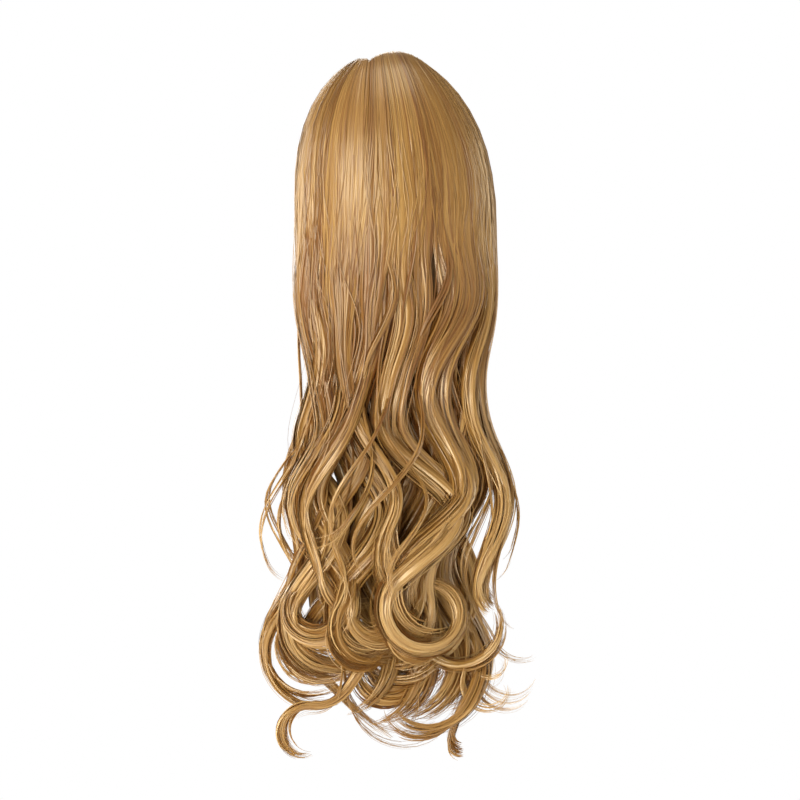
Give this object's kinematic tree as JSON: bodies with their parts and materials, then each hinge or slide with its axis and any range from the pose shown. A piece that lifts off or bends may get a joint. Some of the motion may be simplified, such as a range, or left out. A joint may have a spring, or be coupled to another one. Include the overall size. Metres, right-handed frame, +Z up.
{
  "type": "clip-in hair extension",
  "caption": "Wavy ponytail hairpiece on a claw clip: a combed dome of hair over the clip, falling in loose locks that end in ring curls.",
  "frame": {"origin": "the point of the wearer's crown where the claw clip sits", "axes": "+Z up along the fall of the hair, -Y out from the back of the head, +X to the right as seen from behind the wearer"},
  "size_m": [0.1853, 0.0887, 0.4658],
  "materials": {
    "clip_plastic": "moulded brown plastic, lightly glossy",
    "hair_fibre": "honey-blonde hair fibre, combed strands with a soft sheen and darker depths"
  },
  "bodies": {
    "root": {"claw_clip": "clip_plastic", "hair": "hair_fibre"}
  },
  "joints": []
}
